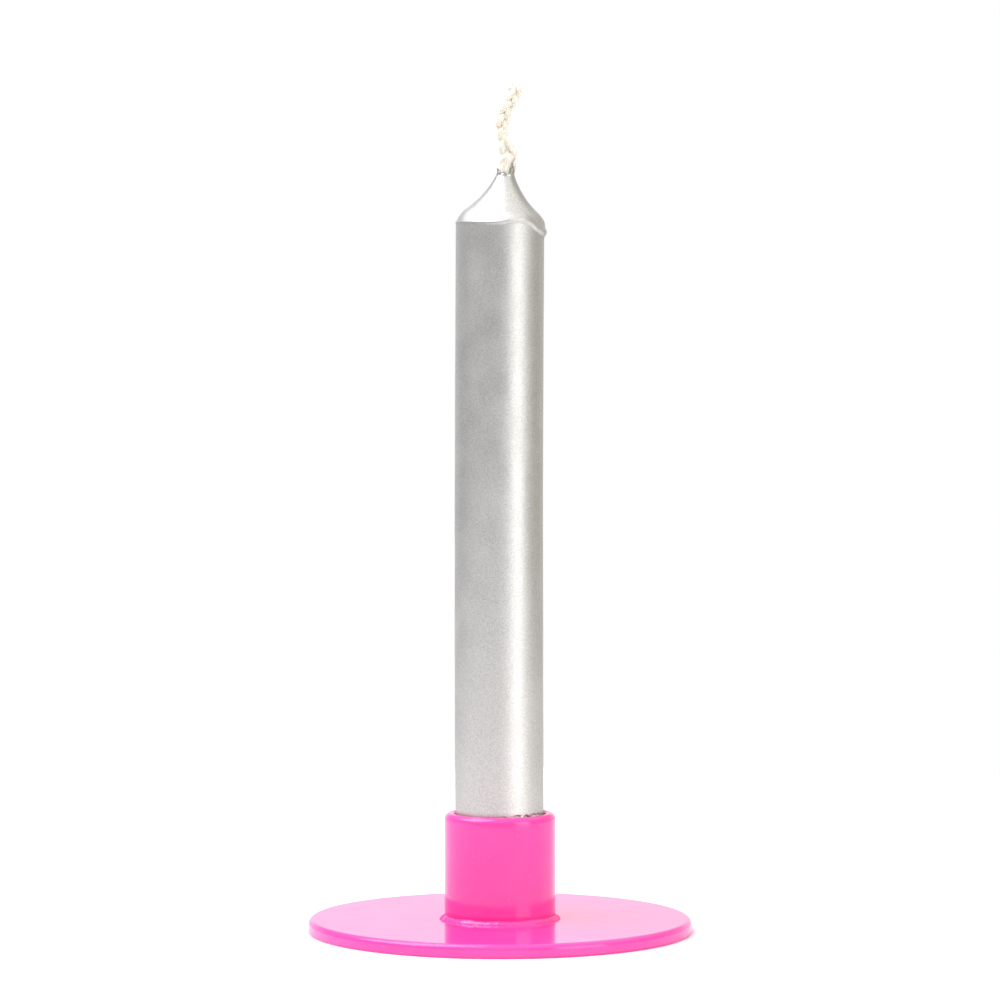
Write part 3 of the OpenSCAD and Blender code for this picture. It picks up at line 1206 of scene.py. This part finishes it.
@dataclass
class PlaitedWick:
    """Flat plait of three cotton strands, bent and splayed as a handled wick is.

    The lump of wax at its foot is given as pairs of height above the neck and radius, in mm.
    """

    pitch: float = 5.6 * MM
    swing: float = 0.58 * MM
    depth: float = 0.36 * MM
    plies: int = 7
    ply_radius: float = 0.2 * MM
    ply_offset: float = 0.24 * MM
    twist_pitch: float = 3.6 * MM
    step: float = 0.16 * MM
    fuzz_density: float = 2.4e6
    fuzz_length: float = 0.42 * MM
    fuzz_thickness: float = 0.012 * MM
    lump: tuple[tuple[float, float], ...] = (
        (-0.6, 0.9), (-0.2, 1.05), (0.3, 1.05), (0.8, 0.98), (1.3, 0.94), (1.8, 0.92), (2.3, 0.9),
        (2.7, 0.82), (3.0, 0.64), (3.2, 0.35),
    )
    axis: LeaningAxis = field(default_factory=LeaningAxis)
    cotton: WaxedCotton = field(default_factory=WaxedCotton)
    wax: BareWax = field(default_factory=lambda: BareWax(body=(1.0, 0.96, 0.89), shade=(0.96, 0.84, 0.7)))

    def __post_init__(self) -> None:
        """Takes the wick's ends from the frame."""
        low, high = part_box("wick_strand_middle")
        self.foot, self.top = low[2], high[2]
        self.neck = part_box("silver_coat")[1][2] + 0.3 * MM

    def middle(self, z: float) -> float:
        """Sideways place of the wick's middle at height z: along the tip, back, and over again.

        Args:
            z: Height in the frame.

        Returns:
            The place along X.
        """
        under = (self.top - z) / MM
        x = self.axis.middle(min(z, self.top - 10.8 * MM))
        return x - 0.66 * MM * smooth(-under, -10.8, -8.0) + 1.75 * MM * smooth(-under, -6.0, -1.4)

    def strand_point(self, third: int, z: float) -> Point:
        """Middle of one strand at height z.

        Args:
            third: Number of the strand, 0 to 2.
            z: Height in the frame.

        Returns:
            The point.
        """
        turn = TURN * ((z - self.neck) / self.pitch + third / 3 + 0.1)
        under = (self.top - z) / MM
        splay = bump(under, 10.3, 2.4) if third == 2 else 0.0
        width = 1 - 0.45 * bump(under, 7.6, 1.8) + 0.28 * bump(under, 3.4, 1.8)
        x = self.middle(z) + self.swing * width * math.sin(turn) * (1 - 0.8 * splay) + splay * 1.0 * MM
        return (x, self.depth * width * math.sin(2 * turn), z)

    def strand_line(self, third: int) -> bpy.types.Object:
        """Curve along one strand, from the candle's foot to its end.

        Args:
            third: Number of the strand, 0 to 2.

        Returns:
            The curve.
        """
        ends = (self.top - 0.25 * MM, self.top - 0.75 * MM, self.top - 0.5 * MM)
        count = int((ends[third] - self.foot) / (0.2 * MM))
        curve = bpy.data.curves.new(f"strand_line_{third}", "CURVE")
        curve.dimensions = "3D"
        spline = curve.splines.new("POLY")
        spline.points.add(count)
        for k in range(count + 1):
            z = self.foot + (ends[third] - self.foot) * k / count
            spline.points[k].co = (*self.strand_point(third, z), 1)
        line = bpy.data.objects.new(curve.name, curve)
        bpy.context.scene.collection.objects.link(line)
        return line

    def foot_wax(self) -> bpy.types.Mesh:
        """Lump of wax and stray fibre that holds the wick at the neck and flares to one side."""
        rows = []
        for above, radius in self.lump:

            def place(turn: float, h: float = above, r: float = radius) -> Point:
                """Point on the lump, fluted lengthwise."""
                x, y = math.cos(turn), math.sin(turn)
                flutes = 0.16 * noise(Vector((3.2 * x, 3.2 * y, 0.35 * h)))
                flutes += 0.22 * noise(Vector((9 * x, 9 * y, 0.8 * h)))
                flare = 0.45 * smooth(h, 0.8, 2.9) * max(0.0, x)
                z = self.neck + (h + 0.35 * noise(Vector((2 * x, 2 * y, 5.0))) * smooth(h, 1.5, 3)) * MM
                out = (r * (1 + flutes) + flare) * MM
                return (self.middle(z) + out * x, 0.85 * out * y, z)

            rows.append(ring(place, 96))
        return grid_mesh("wick_foot_wax", rows, caps=True)

    def build(self) -> None:
        """Makes the lump of wax, the three strands and their fuzz."""
        lump = add_piece("wick_foot_wax", self.foot_wax(), self.wax.material("warm_wax"))
        settle(lump, Body.CANDLE, Slot.WAX)
        cotton = self.cotton.material("waxed_cotton")
        yarn, fuzz = yarn_tree(), fuzz_tree()
        for third, side in enumerate(("left", "middle", "right")):
            line = self.strand_line(third)
            piece = yarn.grow(
                f"yarn_{side}",
                line,
                Plies=self.plies,
                Ply_Radius=self.ply_radius,
                Ply_Offset=self.ply_offset,
                Twist_Pitch=self.twist_pitch,
                Step=self.step,
                Finish=cotton,
            )
            bpy.data.objects.remove(line)
            settle(piece, Body.CANDLE, Slot.COTTON, f"wick_strand_{side}")
            hairs = fuzz.grow(
                f"loose_fibres_{side}",
                piece,
                Density=self.fuzz_density,
                Length=self.fuzz_length,
                Thickness=self.fuzz_thickness,
                Seed=4 + third,
                Finish=cotton,
            )
            settle(hairs, Body.CANDLE, Slot.COTTON)


# ---------------------------------------------------------------- studio


@dataclass
class Studio:
    """White table, white surroundings, two soft lights and the camera."""

    distance: float = 714 * MM
    eye_height: float = 102.7 * MM
    look_down: float = math.radians(3.15)
    lens: float = 176.04
    sensor: float = 36.0
    table: float = 0.22
    depth_glow: float = 0.3
    room_glow: float = 0.55
    ceiling_glow: float = 0.75
    wall_glow: float = 0.56
    wall_start: tuple[float, float] = (0.35, 0.95)
    wall_top: tuple[float, float] = (0.2, 0.4)
    warm_side: Colour = (1.0, 0.96, 0.84)

    def camera(self) -> None:
        """Long lens, level with the candle's top."""
        data = bpy.data.cameras.new("camera")
        data.lens, data.sensor_width = self.lens, self.sensor
        data.clip_start, data.clip_end = 0.05, 20
        camera = bpy.data.objects.new("camera", data)
        camera.location = (0, -self.distance, self.eye_height)
        camera.rotation_euler = (math.pi / 2 - self.look_down, 0, 0)
        bpy.context.scene.collection.objects.link(camera)
        bpy.context.scene.camera = camera

    def floor(self) -> None:
        """Plain white round table."""
        edge = plain_ring(self.table, 0.0, 96)
        mesh = bpy.data.meshes.new("table")
        mesh.from_pydata(edge.tolist(), [], [range(len(edge))])
        add_piece("table", mesh, TableTop().material("white_table"))

    def surroundings(self) -> None:
        """Grey room with a white wall low behind the object; plain white to the camera."""
        world = bpy.data.worlds.new("surroundings")
        bpy.context.scene.world = world
        world.use_nodes = True
        tree = world.node_tree
        tree.nodes.clear()
        where = tree.nodes.new("ShaderNodeTexCoord")
        split = tree.nodes.new("ShaderNodeSeparateXYZ")
        tree.links.new(where.outputs["Generated"], split.inputs[0])

        def ramp(source: bpy.types.NodeSocket, *ends: float) -> bpy.types.NodeSocket:
            """Soft step from one strength to another.

            Args:
                source: Value that the step follows.
                ends: Both ends of its range, then the strength at each.

            Returns:
                The strength's socket.
            """
            node = tree.nodes.new("ShaderNodeMapRange")
            node.interpolation_type = "SMOOTHSTEP"
            for name, value in zip(("From Min", "From Max", "To Min", "To Max"), ends):
                node.inputs[name].default_value = value
            tree.links.new(source, node.inputs["Value"])
            return node.outputs[0]

        def combine(operation: str, *values: bpy.types.NodeSocket | float) -> bpy.types.NodeSocket:
            """One Math node on two or three values.

            Args:
                operation: Its operation.
                values: Sockets or numbers.

            Returns:
                The result's socket.
            """
            node = tree.nodes.new("ShaderNodeMath")
            node.operation = operation
            for socket, value in zip(node.inputs, values):
                if isinstance(value, bpy.types.NodeSocket):
                    tree.links.new(value, socket)
                else:
                    socket.default_value = value
            return node.outputs[0]

        behind, up = split.outputs["Y"], split.outputs["Z"]
        across = ramp(behind, *self.wall_start, 0.0, self.wall_glow)
        wall = combine("MULTIPLY", across, ramp(up, *self.wall_top, 1.0, 0.0))
        level = ramp(up, -0.1, 0.0, self.depth_glow, self.room_glow)
        room = combine("ADD", level, ramp(up, 0.5, 0.8, 0.0, self.ceiling_glow))
        tint = tree.nodes.new("ShaderNodeMix")
        tint.data_type = "RGBA"
        tree.links.new(ramp(split.outputs["X"], 0.0, 1.0, 0.0, 1.0), tint.inputs["Factor"])
        sides = [socket for socket in tint.inputs if socket.type == "RGBA"]
        sides[0].default_value, sides[1].default_value = (1, 1, 1, 1), (*self.warm_side, 1)
        glow = tree.nodes.new("ShaderNodeBackground")
        tree.links.new(next(socket for socket in tint.outputs if socket.type == "RGBA"), glow.inputs["Color"])
        tree.links.new(combine("ADD", wall, room), glow.inputs["Strength"])
        plain = tree.nodes.new("ShaderNodeBackground")
        plain.inputs["Color"].default_value = (1, 1, 1, 1)
        rays = tree.nodes.new("ShaderNodeLightPath")
        mix = tree.nodes.new("ShaderNodeMixShader")
        tree.links.new(rays.outputs["Is Camera Ray"], mix.inputs[0])
        tree.links.new(glow.outputs[0], mix.inputs[1])
        tree.links.new(plain.outputs[0], mix.inputs[2])
        end = tree.nodes.new("ShaderNodeOutputWorld")
        tree.links.new(mix.outputs[0], end.inputs[0])

    def softbox(self, name: str, at: Point, size: tuple[float, float], power: float) -> None:
        """Rectangular soft light that points at the middle of the candle.

        Args:
            name: Name of the light.
            at: Its place.
            size: Width and height.
            power: Watts.
        """
        data = bpy.data.lights.new(name, "AREA")
        data.shape = "RECTANGLE"
        data.size, data.size_y = size
        data.energy = power
        light = bpy.data.objects.new(name, data)
        light.location = at
        aim = Vector((0, 0, 0.06)) - Vector(at)
        light.rotation_euler = aim.to_track_quat("-Z", "Y").to_euler()
        light.visible_camera = False
        bpy.context.scene.collection.objects.link(light)

    def build(self) -> None:
        """Sets up camera, table, surroundings and lights."""
        bpy.context.scene.view_settings.view_transform = "Standard"
        self.camera()
        self.floor()
        self.surroundings()
        self.softbox("overhead_light", (-0.55, -0.05, 0.95), (0.9, 0.9), 11)
        self.softbox("side_light", (0.66, -0.56, 0.25), (0.5, 0.7), 2.8)


def main() -> None:
    """Builds the studio and the object, piece by piece."""
    logging.basicConfig(level=logging.INFO, format="%(name)s: %(message)s")
    Studio().build()
    DiscHolder().build()
    skin = CoatedCandle().build()
    silver = skin.data.materials[0]
    specks = speck_tree().grow(
        "coat_specks", skin, Density=SPECK_DENSITY, Radius=SPECK_RADIUS, Seed=11, Finish=silver
    )
    settle(specks, Body.CANDLE, Slot.SILVER)
    PlaitedWick().build()


if __name__ == "__main__":
    main()
